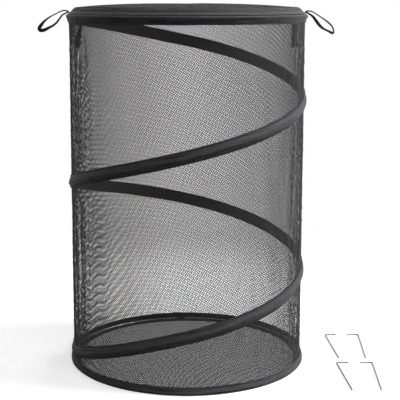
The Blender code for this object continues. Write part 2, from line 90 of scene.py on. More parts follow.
# Zip shoulder: a cone that rises inwards from the top hoop
SHOULDER_ANGLE = math.radians(38)
SHOULDER_FOOT = (WALL - 0.0005, RIM + 0.0004)
ZIP_LINE = 0.00775
TOOTH_PITCH = 0.0017
TOOTH_SIZE = (0.00125, 0.00062, 0.0010)
PIPING_RADIUS = 0.0009
LID_DOME_START = 0.0176
LID_DOME_RISE = 0.0068
LID_OVER_TAPES = 0.0020
LID_REACH = 0.2177
HINGE_LINE = 0.2116
FREE_ENDS = (math.radians(-251.4), math.radians(71.4))
LID_TEETH_ENDS = (math.radians(-250.5), math.radians(69.0))
ZIP_ENDS = (math.radians(-252.9), math.radians(72.9))
SEWN_ENDS = (math.radians(73), math.radians(107))

# Webbing of the carrying loops and the tie straps
LOOP_WIDTH = 0.0095
LOOP_THICKNESS = 0.0018
STRAP_THICKNESS = 0.0026

# Wire pegs
PEG_RADIUS = 0.0015
PEG_LENGTH = 0.147
PEG_HOOK = 0.024
PEG_BEND = 0.0045

# Studio: how bright the air is as a light, and (name, place, size, power) of each lamp
AMBIENT = 0.15
LAMPS = (
    ("key_right", (2.45, -0.1, 2.05), 1.9, 150.0),
    ("top_wide", (0.2, -0.1, 2.6), 1.8, 15.0),
    ("fill_front", (0.6, -2.6, 1.8), 1.6, 4.0),
)


class Value:
    """A shader value that takes sums and products, each as a Math node."""

    def __init__(self, finish, socket):
        self.finish = finish
        self.socket = socket

    def maths(self, operation, first, second=0.0):
        return self.finish.node("Math", {"operation": operation}, {0: first, 1: second})

    def __add__(self, other):
        return self.maths("ADD", self, other)

    def __radd__(self, other):
        return self.maths("ADD", other, self)

    def __sub__(self, other):
        return self.maths("SUBTRACT", self, other)

    def __rsub__(self, other):
        return self.maths("SUBTRACT", other, self)

    def __mul__(self, other):
        return self.maths("MULTIPLY", self, other)

    def wave(self):
        """The value's sine, brought to between 0 and 1."""
        return self.maths("SINE", self) * 0.5 + 0.5

    def larger(self, other):
        return self.maths("MAXIMUM", self, other)


class Finish:
    """A material on a Principled BSDF, with the nodes that drive it."""

    def __init__(self, name, roughness=0.5, metallic=0.0, **shine):
        self.material = bpy.data.materials.new(name)
        self.material.use_nodes = True
        self.tree = self.material.node_tree
        self.shader = self.tree.nodes["Principled BSDF"]
        self.set("Roughness", roughness)
        self.set("Metallic", metallic)
        for socket, value in shine.items():
            self.set(socket.replace("_", " "), value)

    def feed(self, socket, value):
        """Sets a socket, or links it to the value that drives it."""
        if isinstance(value, Value):
            self.tree.links.new(value.socket, socket)
        else:
            socket.default_value = value

    def set(self, name, value):
        self.feed(self.shader.inputs[name], value)

    def node(self, kind, settings=None, sockets=None, out=0):
        """Adds a node, and gives one of its outputs."""
        made = self.tree.nodes.new("ShaderNode" + kind)
        for name, value in (settings or {}).items():
            setattr(made, name, value)
        for name, value in (sockets or {}).items():
            self.feed(made.inputs[name], value)
        return Value(self, made.outputs[out])

    def place(self):
        """Where a point lies, in the piece's own metres."""
        return self.node("TexCoord", out="Object")

    def cloth(self):
        """(distance along the piece, distance across it), in metres."""
        uv = self.node("UVMap", {"uv_map": "cloth"})
        along = self.node("SeparateXYZ", sockets={0: uv})
        return along, Value(self, along.socket.node.outputs[1])

    def painted_top_light(self):
        """Painted light from above: a share from 0 where the surface faces down to 1 where it faces
        up, which lightens upper faces and leaves lower ones dark.
        """
        facing = self.node("NewGeometry", out="Normal")
        upwards = self.node("SeparateXYZ", sockets={0: facing}, out="Z")
        return self.fade(upwards, -0.32, 0.42)

    def fade(self, value, start, end):
        """Smoothly from 0 to 1, as the value goes from the start to the end."""
        sockets = {0: value, 1: start, 2: end}
        return self.node("MapRange", {"interpolation_type": "SMOOTHSTEP"}, sockets)

    def noise(self, scale, detail, roughness=0.5, stretch=None, where=None):
        """Noise over the piece, or at the places given, which a stretch can draw out."""
        where = where or self.place()
        if stretch:
            where = self.node("Mapping", sockets={"Vector": where, "Scale": stretch})
        sockets = {"Vector": where, "Scale": scale, "Detail": detail, "Roughness": roughness}
        return self.node("TexNoise", sockets=sockets)

    def colour(self, factor, low, high):
        """Gives the piece colours between two, by a factor from 0 to 1."""
        sockets = {0: factor, 6: (*low, 1.0), 7: (*high, 1.0)}
        self.set("Base Color", self.node("Mix", {"data_type": "RGBA"}, sockets, out=2))

    def relief(self, height, depth, strength):
        sockets = {"Height": height, "Distance": depth, "Strength": strength}
        self.set("Normal", self.node("Bump", sockets=sockets))


def yarn_finish():
    """Black knitted polyester strands, a little dusty and fuzzy."""
    finish = Finish("netting_yarn", Specular_IOR_Level=0.15, Sheen_Weight=0.1, Sheen_Roughness=0.4)
    fuzz = finish.noise(1400.0, 3.0)
    dust = finish.noise(16.0, 3.0)
    finish.colour(fuzz * 0.6 + dust * 0.4, (0.009, 0.009, 0.010), (0.038, 0.037, 0.038))
    finish.set("Roughness", 0.42 + fuzz * 0.3)
    finish.relief(fuzz, 0.0001, 0.5)
    return finish.material


def woven_finish(name, low, high, pitch, gloss):
    """Closely woven black tape: two thread directions, drawn streaks, puckers and a satin face,
    with painted light that lightens its faces that look up.
    """
    finish = Finish(name, Specular_IOR_Level=gloss, Sheen_Weight=0.22, Sheen_Roughness=0.35)
    along, across = finish.cloth()
    warp = (along * (TURN / pitch)).wave()
    weft = (across * (TURN / pitch)).wave()
    weave = (warp * (1 - weft)).larger(weft * (1 - warp))
    drawn = finish.node("CombineXYZ", sockets={0: along * 26.0, 1: across * 520.0})
    streak = finish.noise(1.0, 3.0, 0.6, where=drawn)
    pulled = finish.node("CombineXYZ", sockets={0: along * 70.0 + across * 60.0, 1: across * 160.0})
    pucker = finish.noise(1.0, 3.0, 0.55, where=pulled)
    dust = finish.noise(34.0, 4.0, 0.6)
    # Painted light: faces that look up are made lighter and faces that look down darker; the dust
    # noise shows only on the upward faces.
    lying = finish.painted_top_light()
    shade = weave * 0.2 + (dust * 0.35 + 0.1) * lying + (streak - 0.42) * 1.1 + lying * 0.4
    finish.colour(shade, low, high)
    finish.set("Roughness", 0.56 - weave * 0.12 + dust * 0.16)
    finish.relief(weave * 0.00012 + streak * 0.0005 + pucker * 0.0022, 1.0, 0.8)
    return finish.material


def webbing_finish():
    """Ribbed webbing: ribs across it, and a fine twill in them."""
    finish = Finish("ribbed_webbing", Specular_IOR_Level=0.08, Sheen_Weight=0.08)
    along, across = finish.cloth()
    rib = (along * (TURN / 0.0011)).wave()
    twill = ((along + across) * (TURN / 0.0006)).wave()
    dust = finish.noise(60.0, 3.0)
    shade = rib * 0.4 + twill * 0.2 + dust * 0.35
    finish.colour(shade, (0.003, 0.003, 0.0035), (0.014, 0.014, 0.015))
    finish.set("Roughness", 0.62 + dust * 0.2 - rib * 0.08)
    finish.relief(rib * 0.00025 + twill * 0.00006, 1.0, 0.8)
    return finish.material


def thread_finish():
    """Twisted sewing thread."""
    finish = Finish("sewing_thread", Specular_IOR_Level=0.2)
    ply = finish.noise(2600.0, 1.0, stretch=(1.0, 1.0, 3.0))
    finish.colour(ply, (0.002, 0.002, 0.0025), (0.009, 0.009, 0.010))
    finish.set("Roughness", 0.35 + ply * 0.25)
    finish.relief(ply, 0.00008, 0.5)
    return finish.material


def nylon_finish():
    """Moulded black nylon with a faint grain and handling marks."""
    finish = Finish("moulded_nylon", Specular_IOR_Level=0.5)
    grain = finish.noise(900.0, 3.0)
    marks = finish.noise(70.0, 4.0, 0.7)
    finish.colour(marks, (0.012, 0.012, 0.013), (0.050, 0.050, 0.052))
    finish.set("Roughness", 0.30 + grain * 0.15 + marks * 0.12)
    finish.relief(grain, 0.00004, 0.5)
    return finish.material


def metal_finish(name, low, high, roughness, grain=420.0, stretch=(1, 1, 1)):
    """Drawn or cast metal: a fine grain, which a stretch draws out into lines, and dull patches."""
    finish = Finish(name, metallic=1.0)
    lines = finish.noise(grain, 3.0, 0.6, stretch)
    patches = finish.noise(46.0, 5.0, 0.65)
    finish.colour(lines * 0.4 + patches * 0.6, low, high)
    finish.set("Roughness", roughness + lines * 0.14 + patches * 0.12)
    finish.relief(lines, 0.00003, 0.4)
    return finish.material


YARN = yarn_finish()
BINDING = woven_finish(
    "binding_weave", (0.003, 0.003, 0.0033), (0.063, 0.0615, 0.065), 0.0006, 0.06
)
ZIP_CLOTH = woven_finish(
    "zip_tape_weave", (0.010, 0.010, 0.011), (0.054, 0.054, 0.055), 0.0009, 0.08
)
WEBBING = webbing_finish()
THREAD = thread_finish()
NYLON = nylon_finish()
SPRING = metal_finish("spring_steel", (0.20, 0.21, 0.22), (0.46, 0.47, 0.48), 0.24)
ZINC = metal_finish("die_cast_zinc", (0.032, 0.032, 0.034), (0.085, 0.085, 0.088), 0.48)
GALVANISED = metal_finish(
    "galvanised_wire", (0.16, 0.165, 0.17), (0.34, 0.345, 0.35), 0.32, 260.0, (6, 0.5, 6)
)


def unit(vectors):
    """The vectors, each one long."""
    return vectors / np.linalg.norm(vectors, axis=-1, keepdims=True)


def run_along(steps):
    """How far each point of a line lies from its start, by the steps between them."""
    return np.concatenate([[0.0], np.cumsum(steps)])


def ringed(radius, angle, height):
    """Points round the Z axis."""
    radius, angle, height = np.broadcast_arrays(radius, angle, height)
    return np.stack([radius * np.cos(angle), radius * np.sin(angle), height], axis=-1)


def ripple(angle, waves, seed):
    """A smooth uneven wave, as (turns in 2 pi, height) pairs with seeded starts."""
    starts = np.random.default_rng(seed).uniform(0, TURN, len(waves))
    parts = [size * np.sin(angle * turns + start) for (turns, size), start in zip(waves, starts)]
    return np.sum(parts, axis=0)


def smooth_step(value):
    """Smoothly from 0 to 1, as the value goes from 0 to 1."""
    value = np.clip(value, 0.0, 1.0)
    return value * value * (3 - 2 * value)


def curve_between(share, start, end, leaving, arriving):
    """A cubic from the start to the end, by its slopes at both."""
    square, cube = share**2, share**3
    level = start * (2 * cube - 3 * square + 1) + end * (3 * square - 2 * cube)
    return level + leaving * (cube - 2 * square + share) + arriving * (cube - square)


def even_line(points, count):
    """A smooth line through the points, with evenly spaced points of its own."""
    points = np.asarray(points, float)
    slopes = np.gradient(points, axis=0)
    share = np.linspace(0, 1, 24, endpoint=False)[:, None]
    spans = zip(points, points[1:], slopes, slopes[1:])
    fine = np.concatenate([*(curve_between(share, *span) for span in spans), points[-1:]])
    far = run_along(np.linalg.norm(np.diff(fine, axis=0), axis=1))
    where = np.linspace(0, far[-1], count)
    return np.stack([np.interp(where, far, values) for values in fine.T], axis=1)


def link_piece(name, points, faces, finish):
    """Links a smooth mesh as a piece, with its place in its mesh."""
    mesh = bpy.data.meshes.new(name)
    mesh.from_pydata(points.tolist(), [], faces)
    mesh.shade_smooth()
    mesh.materials.append(finish)
    piece = bpy.data.objects.new(name, mesh)
    bpy.context.scene.collection.objects.link(piece)
    return piece


def crease(piece, degrees):
    """Leaves the edges sharp where faces meet at a steeper angle."""
    piece.data.set_sharp_from_angle(angle=math.radians(degrees))


def inside_out(points, faces):
    """Whether the quads face into the closed shape that they make."""
    corners = points[faces]
    spans = np.cross(corners[:, 1] - corners[:, 0], corners[:, 2] - corners[:, 0])
    spans += np.cross(corners[:, 2] - corners[:, 0], corners[:, 3] - corners[:, 0])
    middle = corners.mean(axis=1) - points.mean(axis=0)
    return (spans * middle).sum() < 0


def loft(name, rows, finish, ring=False, sharp=55.0):
    """A closed skin through matching closed sections, capped where it isn't a ring."""
    rows = np.asarray(rows, float)
    count, size = rows.shape[:2]
    points = rows.reshape(-1, 3)
    along, across = np.broadcast_arrays(
        np.arange(count if ring else count - 1)[:, None], np.arange(size)[None, :]
    )
    middles = rows.mean(axis=1)
    far = run_along(np.linalg.norm(np.roll(middles, -1, axis=0) - middles, axis=1))
    rims = np.linalg.norm(np.roll(rows, -1, axis=1) - rows, axis=2).mean(axis=0)
    wide = run_along(rims)
    quads, uvs = [], []
    for after, beside in ((0, 0), (0, 1), (1, 1), (1, 0)):
        quads.append((along + after) % count * size + (across + beside) % size)
        uvs.append(np.stack([far[along + after], wide[across + beside]], axis=-1))
    quads = np.stack(quads, axis=-1).reshape(-1, 4)
    uvs = np.stack(uvs, axis=2).reshape(-1, 4, 2)
    if inside_out(points, quads):
        quads, uvs = quads[:, ::-1], uvs[:, ::-1]
    piece = link_piece(name, points, quads.tolist(), finish)
    layer = piece.data.uv_layers.new(name="cloth")
    layer.data.foreach_set("uv", uvs.astype(np.float32).ravel())
    crease(piece, sharp)
    if not ring:
        cap_ends(piece)
    return piece


def edit(piece, mode):
    """Opens a piece for editing, with nothing selected."""
    bpy.ops.object.select_all(action="DESELECT")
    piece.select_set(True)
    bpy.context.view_layer.objects.active = piece
    bpy.ops.object.mode_set(mode="EDIT")
    bpy.ops.mesh.select_mode(type=mode)
    bpy.ops.mesh.select_all(action="DESELECT")


def leave_edit():
    """Closes the piece that is open for editing."""
    bpy.ops.object.mode_set(mode="OBJECT")


def cap_ends(piece):
    """Fills the open ends of a skin."""
    edit(piece, "EDGE")
    bpy.ops.mesh.select_non_manifold()
    bpy.ops.mesh.edge_face_add()
    bpy.ops.mesh.select_all(action="SELECT")
    bpy.ops.mesh.normals_make_consistent(inside=False)
    leave_edit()


def wire(name, line, radius, finish, sides=10, ring=False):
    """A round wire along a line of points, narrowed at its cut ends unless it is a ring."""
    if ring:
        tangents = unit(np.roll(line, -1, axis=0) - np.roll(line, 1, axis=0))
    else:
        tangents = unit(np.gradient(line, axis=0))
    side = unit(np.cross(tangents, (0.0, 0.0, 1.0)))
    over = np.cross(side, tangents)
    turn = np.linspace(0, TURN, sides, endpoint=False)[None, :, None]
    spread = np.cos(turn) * side[:, None] + np.sin(turn) * over[:, None]
    reach = np.full(len(line), radius)
    if not ring:
        reach[[0, -1]] *= 0.7
    return loft(name, line[:, None] + spread * reach[:, None, None], finish, ring=ring)


def wear(piece, body, slot, *replaced):
    """Puts a piece on its body and hides the nodes that it replaces; the slot is not used."""
    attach(piece, body)
    if replaced:
        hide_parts(*replaced)
    return piece


def press_flat(piece):
    """Gives a piece of the wall a mesh of its own."""
    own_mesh(piece)


def spiral_height(quarters):
    """Height of the spiral's centre line after so many quarter turns."""
    quarters = np.asarray(quarters, float)
    heights = np.array(SPIRAL_HEIGHTS)
    slopes = np.gradient(heights)
    slopes[0], slopes[-1] = SPIRAL_END_SLOPES
    at = np.clip(quarters.astype(int), 0, len(heights) - 2)
    return curve_between(quarters - at, heights[at], heights[at + 1], slopes[at], slopes[at + 1])


def tape_distance(angle, height):
    """How far a point of the wall is from the nearest edge of a tape."""
    quarters = np.mod(math.pi - angle, TURN) / QUARTER
    gap = np.minimum(height - BINDING_DEPTH, RIM - BINDING_DEPTH - height)
    for turn in (0, 4):
        centre = spiral_height(quarters + turn)
        gap = np.minimum(gap, np.abs(height - centre) - SLEEVE_HALF)
    return np.maximum(gap, 0.0)


# Upright creases of slack netting: (degrees round, depth, width in degrees, seed)
CREASES = (
    (199, 0.0044, 0.9, 1), (206, 0.0036, 1.1, 2), (214, 0.0024, 1.3, 3), (163, 0.0020, 1.4, 4),
    (152, 0.0018, 1.7, 5), (-19, 0.0044, 0.9, 6), (-28, 0.0036, 1.1, 7), (-36, 0.0022, 1.4, 8),
    (15, 0.0022, 1.3, 9), (28, 0.0018, 1.7, 10), (74, 0.0016, 1.6, 11), (118, 0.0018, 1.5, 12),
    (251, 0.0012, 1.8, 13), (294, 0.0012, 1.7, 14),
)  # fmt: skip


def wall_radius(angle, height):
    """The net's radius: taut at the tapes, with upright folds and creases between them."""
    free = smooth_step(tape_distance(angle, height) / 0.055)
    lean = height * 9.0
    folds = ripple(angle + 0.05 * np.sin(lean), ((19, 0.0005), (31, 0.0003), (47, 0.0001)), 4)
    folds += ripple(angle - 0.08 * np.sin(lean * 0.7 + 1.0), ((26, 0.0004), (61, 0.0001)), 9)
    crumple = ripple(angle + height * 3.1, ((71, 0.0004), (113, 0.0002)), 21)
    crumple += ripple(angle - height * 4.3, ((63, 0.0004), (97, 0.0002)), 22)
    folds += np.cos(angle) ** 6 * crumple
    for degrees, depth, width, seed in CREASES:
        sway = ripple(height, ((8.0, 1.4), (21.0, 0.9), (47.0, 0.5)), seed)
        swell = 0.62 + ripple(height, ((13.0, 0.24), (31.0, 0.14)), seed + 40)
        aside = (np.degrees(angle) - degrees - sway + 180) % 360 - 180
        folds = folds - depth * swell * np.exp(-((aside / width) ** 2))
    return WALL - 0.0004 - free * 0.0008 + free * folds


def strands(lines, normals, depth):
    """(points, quads) of a closed strand along each line, flat side to its normals."""
    tangents = unit(np.gradient(lines, axis=1))
    sides = unit(np.cross(normals, tangents))
    wide, deep = sides * STRAND_WIDTH / 2, normals * depth / 2
    tubes = [lines + wide + deep, lines - wide + deep, lines - wide - deep, lines + wide - deep]
    count, length = lines.shape[:2]
    row = np.arange(length - 1)[:, None] * 4
    corner = np.arange(4)[None, :]
    beside = (corner + 1) % 4
    skin = np.stack([row + corner, row + beside, row + 4 + beside, row + 4 + corner], axis=-1)
    ends = [[3, 2, 1, 0], [length * 4 - 4 + at for at in range(4)]]
    tube = np.concatenate([skin.reshape(-1, 4), ends])
    quads = (np.arange(count)[:, None, None] * length * 4 + tube[None]).reshape(-1, 4)
    return np.stack(tubes, 2).reshape(-1, 3), quads


def net_piece(name, families, depth=STRAND_DEPTH):
    """One piece of netting from families of strands, all of them facing out."""
    points, quads, before = [], [], 0
    for lines, normals in families:
        corners, faces = strands(lines, normals, depth)
        count, length = lines.shape[:2]
        if inside_out(corners[: length * 4], faces[: len(faces) // count]):
            faces = faces[:, ::-1]
        points.append(corners)
        quads.append(faces + before)
        before += len(corners)
    piece = link_piece(name, np.concatenate(points), np.concatenate(quads).tolist(), YARN)
    crease(piece, 120.0)
    return piece


def wall_net(name, foot, head):
    """A ring of diamond netting between two heights, which laps a little over the next rings."""
    heights = np.linspace(foot - STRAND_WIDTH / 4, head + STRAND_WIDTH / 4, WALL_STEPS)
    families = []
    for slant in WALL_SLANTS:
        count = round(TURN * WALL * math.cos(slant) / STRAND_SPACING)
        starts = np.arange(count) * TURN / count
        lead = math.sin(slant) / STRAND_SPACING * TURN / count
        angle = starts[:, None] - lead * (heights[None, :] - WALL_FOOT)
        lines = ringed(wall_radius(angle, np.broadcast_to(heights, angle.shape)), angle, heights)
        families.append((lines, ringed(1.0, angle, 0.0)))
    return net_piece(name, families)


def round_net(name, reach, height_at, steps, depth, back=math.inf):
    """A round of netting, its strands cut at the edge tape and along a line at the back."""
    families = []
    count = int(reach / STRAND_SPACING)
    offsets = np.arange(-count, count + 1) * STRAND_SPACING
    half = np.sqrt(np.maximum(reach**2 - offsets**2, 0.0004**2))
    share = np.linspace(-1.0, 1.0, steps)
    for turn in (math.radians(45), math.radians(135)):
        far = np.minimum(half, (back - offsets * math.cos(turn)) / math.sin(turn))
        kept = far > 0.003 - half
        low, high = -half[kept], far[kept]
        run = low[:, None] + (high - low)[:, None] * (share[None, :] + 1) / 2
        aside = offsets[kept][:, None]
        x = run * math.cos(turn) - aside * math.sin(turn)
        y = run * math.sin(turn) + aside * math.cos(turn)
        lines = np.stack([x, y, height_at(np.hypot(x, y), np.arctan2(y, x))], axis=-1)
        normals = np.broadcast_to(np.array([0.0, 0.0, 1.0]), lines.shape)
        families.append((lines, normals))
    return net_piece(name, families, depth)


def cone_place(along, above):
    """(radius, height) by the distance in from the hoop and above the zip's cone."""
    cosine, sine = math.cos(SHOULDER_ANGLE), math.sin(SHOULDER_ANGLE)
    radius = SHOULDER_FOOT[0] - along * cosine + above * sine
    return radius, SHOULDER_FOOT[1] + along * sine + above * cosine


def cone_points(along, above, angle):
    """Points of the zip's cone, or above it."""
    radius, height = cone_place(along, above)
    return ringed(radius, angle, height)


def lid_height(radius, angle):
    """Height of the lid's netting: a low dome that runs out over the tapes on the zip's cone."""
    edge, rim = cone_place(LID_DOME_START, LID_OVER_TAPES)
    dome = rim + LID_DOME_RISE * (1 - (np.minimum(radius, edge) / edge) ** 3)
    slack = smooth_step((edge - radius) / 0.05) * smooth_step(radius / 0.06)
    dome = dome + slack * ripple(angle, ((3, 0.0004), (5, 0.0004), (8, 0.0003)), 21)
    return dome - np.maximum(radius - edge, 0.0) * math.tan(SHOULDER_ANGLE)


def floor_height(radius, _angle):
    """Height of the floor's netting, which steps up over the hem."""
    return 0.00045 + 0.00075 * smooth_step((radius - 0.2085) / 0.004)


def finer(outline):
    """The outline with points about a millimetre apart, so that drawn cloth can ripple along it."""
    outline = np.asarray(outline, float)
    lengths = np.linalg.norm(np.diff(outline, axis=0), axis=1)
    points = [outline[:1]]
    for start, end, length in zip(outline, outline[1:], lengths):
        share = np.linspace(0, 1, max(int(length / 0.0011), 1) + 1)[1:, None]
        points.append(start + (end - start) * share)
    return np.concatenate(points)


def thick(outline):
    """A closed section: an outline and the same a tape's thickness behind it."""
    outline = np.asarray(outline, float)
    heading = unit(np.gradient(outline, axis=0))
    behind = outline + np.stack([heading[:, 1], -heading[:, 0]], axis=1) * TAPE
    return np.concatenate([outline, behind[::-1]])


def drawn_folds(angle, across, seed):
    """Shallow folds that run along a tape, wander across it and come and go."""
    draws = np.random.default_rng(seed)
    folds, widest, size = 0.0, 0.0112, 0.00052
    for spacing in (widest, 0.0074, 0.0049):
        drift = ripple(angle, ((3.1, 1.3), (7.3, 0.9), (17.0, 0.5)), int(draws.integers(1000)))
        swell = 0.55 + ripple(angle, ((5.3, 0.35), (13.1, 0.3)), int(draws.integers(1000)))
        wave = np.sin(across * TURN / spacing + drift)
        folds = folds + size * spacing / widest * swell * wave
    return folds


def puckers(along, up, seed):
    """Short dips that cross the sleeve at a slant, where its seams pull."""
    draws = np.random.default_rng(seed)
    dips, count = 0.0, 34
    for place in np.linspace(0.1, 2.75, count) + draws.uniform(-0.05, 0.05, count):
        slant = draws.uniform(-1.6, 1.6)
        depth = draws.uniform(0.0004, 0.0011)
        width = draws.uniform(0.003, 0.007)
        dips = dips - depth * np.exp(-(((along - place + slant * up) / width) ** 2))
    return dips


# Outlines of tape bound over a hoop: (out from the wall, distance from the fold)
FOLD_OUTLINE = (
    (0.0012, 0.0155), (0.0016, 0.0151), (0.0018, 0.0140), (0.0017, 0.0130), (0.0024, 0.0110),
    (0.0034, 0.0087), (0.0044, 0.0066), (0.0050, 0.0048), (0.0052, 0.0036), (0.0051, 0.0024),
    (0.0047, 0.0013), (0.0040, 0.0005), (0.0031, 0.0001),
)  # fmt: skip
RIM_OUTLINE = (
    *FOLD_OUTLINE, (0.0018, 0.0000), (0.0004, 0.0000), (-0.0008, 0.0001), (-0.0016, 0.0004),
    (-0.0020, 0.0012), (-0.0021, 0.0050), (-0.0020, 0.0130), (-0.0018, 0.0155),
)  # fmt: skip
HEM_OUTLINE = (
    *FOLD_OUTLINE, (0.0010, 0.0000), (-0.0030, 0.0000), (-0.0080, 0.0000), (-0.0120, 0.0000),
)  # fmt: skip

# Outline of the spiral's sleeve: (out from the wall, up from its middle)
SLEEVE_OUTLINE = (
    (0.0009, 0.0125), (0.0014, 0.0122), (0.0017, 0.0114), (0.0015, 0.0103), (0.0019, 0.0088),
    (0.0027, 0.0063), (0.0035, 0.0038), (0.0042, 0.0014), (0.0048, -0.0006), (0.0050, -0.0022),
    (0.0050, -0.0034), (0.0044, -0.0045), (0.0034, -0.0054), (0.0026, -0.0063), (0.0024, -0.0074),
    (0.0024, -0.0088), (0.0020, -0.0100), (0.0016, -0.0110), (0.0015, -0.0118), (0.0012, -0.0123),
    (0.0009, -0.0125),
)  # fmt: skip


def bound_ring(name, fold, direction, outline, seed):
    """A tape bound over a hoop, from its fold down or up."""
    section = thick(finer(outline))
    angle = np.linspace(0, TURN, RING_STEPS, endpoint=False)
    round_it = angle[:, None]
    out, depth = section[:, 0][None, :], section[:, 1][None, :]
    outside = smooth_step((out + 0.0002) / 0.002)
    wander = ripple(round_it, ((5, 0.00016), (9, 0.00014), (17, 0.0001), (29, 0.00008)), seed)
    edge = ripple(round_it, ((7, 0.0002), (13, 0.00018), (37, 0.00012)), seed + 1)
    skirt = smooth_step((depth - 0.006) / 0.008)
    groove = np.exp(-(((depth - 0.0028) / 0.0008) ** 2)) * outside
    share = (0.55 + 0.45 * np.cos(round_it - math.radians(-20))) * 0.0007
    drawn = drawn_folds(round_it, depth, seed + 2) * smooth_step((depth - 0.0008) / 0.002)
    drawn = drawn * smooth_step((0.0142 - depth) / 0.002)
    radius = WALL + out + outside * (wander + drawn) - groove * share
    height = fold + direction * (depth + skirt * outside * edge)
    return loft(name, ringed(radius, round_it, height), BINDING, ring=True)


def tucked(height):
    """(lower edge, share of the full width left) where the sleeve meets a hoop's tape."""
    low = np.maximum(height - SLEEVE_HALF, SLEEVE_REACH[0])
    high = np.minimum(height + SLEEVE_HALF, SLEEVE_REACH[1])
    return low, (high - low) / (2 * SLEEVE_HALF)


def spiral_points(out, up, quarters, level=SLEEVE_LEVEL):
    """Points along the spiral, by the distance out from the wall and up from the middle."""
    low, share = tucked(spiral_height(quarters))
    radius = WALL + level + (out - level) * share
    return ringed(radius, math.pi - quarters * QUARTER, low + (up + SLEEVE_HALF) * share)


def spiral_rows(section, level, seed=None):
    """Matching sections along the spiral, with a seed drawn into folds and puckers."""
    quarters = np.linspace(0, 8, SPIRAL_STEPS)[:, None]
    angle = math.pi - quarters * QUARTER
    out, up = section[:, 0][None, :], section[:, 1][None, :]
    if seed is not None:
        proud = np.clip((out - level) / 0.003, 0.0, 1.0)
        out = out + proud * ripple(angle, ((6.3, 0.00018), (13.7, 0.00014), (31.1, 0.0001)), seed)
        free = smooth_step((SLEEVE_HALF - 0.0012 - np.abs(up)) / 0.002)
        free = free * (1 - 0.75 * np.exp(-(((up + 0.0012) / 0.0040) ** 2)))
        out = out + free * drawn_folds(angle, up, seed + 2)
        out = out + free * proud * puckers((math.pi - angle) * WALL, up, seed + 3)
        hang = ripple(angle, ((4.1, 0.0005), (11.9, 0.0004), (27.0, 0.0002)), seed + 1)
        up = up + hang * (1 - np.abs(up / SLEEVE_HALF) ** 4)
    return spiral_points(out, up, quarters, level)


def take_template(piece):
    """(points, faces) of a small shape, which is then taken away."""
    mesh = piece.data
    points = np.array([corner.co for corner in mesh.vertices], float)
    faces = [tuple(face.vertices) for face in mesh.polygons]
    bpy.data.objects.remove(piece)
    bpy.data.meshes.remove(mesh)
    return points, faces


def stitch_mesh():
    """One stitch: a thread that rises out of the cloth and dips back, one unit long."""
    lying = (0, QUARTER, 0)
    bpy.ops.mesh.primitive_cylinder_add(vertices=5, radius=0.14, depth=1.0, rotation=lying)
    stitch = bpy.context.object
    bpy.ops.object.transform_apply(location=True, rotation=True, scale=True)
    edit(stitch, "EDGE")
    leave_edit()
    for line in stitch.data.edges:
        ends = [stitch.data.vertices[at].co.x for at in line.vertices]
        line.select = abs(ends[0] - ends[1]) > 0.5
    bpy.ops.object.mode_set(mode="EDIT")
    bpy.ops.mesh.subdivide(number_cuts=2)
    leave_edit()
    for corner in stitch.data.vertices:
        away = abs(corner.co.x) * 2
        corner.co.y *= 1.0 - 0.45 * away**4
        corner.co.z = corner.co.z * (1.0 - 0.3 * away**4) + 0.06 - 0.22 * away**3
    return take_template(stitch)


def tooth_mesh():
    """One turn of the zip's coil as it shows from above: a bar with a wider head."""
    bpy.ops.mesh.primitive_cube_add(size=1.0)
    tooth = bpy.context.object
    edit(tooth, "FACE")
    leave_edit()
    for face in tooth.data.polygons:
        face.select = face.normal.x > 0.9
    bpy.ops.object.mode_set(mode="EDIT")
    for length, size in ((0.25, (1.0, 1.5, 1.1)), (0.15, (1.0, 0.55, 0.6))):
        bpy.ops.mesh.extrude_region_move(TRANSFORM_OT_translate={"value": (length, 0, 0)})
        bpy.ops.transform.resize(value=size)
    leave_edit()
    for corner in tooth.data.vertices:
        if corner.co.z > 0:
            corner.co.y *= 0.6
    return take_template(tooth)


STITCH = stitch_mesh()
TOOTH = tooth_mesh()


def repeated(name, template, places, finish):
    """A small shape copied to each place, given as 3 x 4 matrices, all in one piece."""
    points, faces = template
    moved = np.einsum("nij,kj->nki", places[:, :, :3], points) + places[:, None, :, 3]
    starts = range(0, len(points) * len(places), len(points))
    everywhere = [[corner + start for corner in face] for start in starts for face in faces]
    return link_piece(name, moved.reshape(-1, 3), everywhere, finish)


def seam_places(line, normals, length, gap, size):
    """Places for stitches along a line on a surface, a stitch then a gap."""
    far = run_along(np.linalg.norm(np.diff(line, axis=0), axis=1))
    middles = np.arange(length / 2, far[-1] - length / 2, length + gap)

    def taken(values, where):
        return np.stack([np.interp(where, far, column) for column in values.T], 1)

    first, last = taken(line, middles - length / 2), taken(line, middles + length / 2)
    x = last - first
    y = np.cross(taken(normals, middles), x)
    y *= size / np.linalg.norm(y, axis=1, keepdims=True)
    z = np.cross(x, y)
    z *= size / np.linalg.norm(z, axis=1, keepdims=True)
    return np.stack([x, y, z, (first + last) / 2], axis=-1)


def seam(name, lines, length=0.0024, gap=0.0008, size=0.0016):
    """Rows of stitches; each line comes with its surface's normals."""
    places = [seam_places(line, normals, length, gap, size) for line, normals in lines]
    return repeated(name, STITCH, np.concatenate(places), THREAD)


def ring_seam(radius, height, outwards):
    """A seam line round the tube, on its outside or its inside."""
    angle = np.linspace(0.0, TURN, SEAM_STEPS)
    return ringed(radius, angle, height), ringed(outwards, angle, 0)


def cone_seam(along, above, ends):
    """A seam line on the zip's cone."""
    angle = np.linspace(*ends, SEAM_STEPS)
    normals = ringed(math.sin(SHOULDER_ANGLE), angle, math.cos(SHOULDER_ANGLE))
    return cone_points(along, above, angle), normals


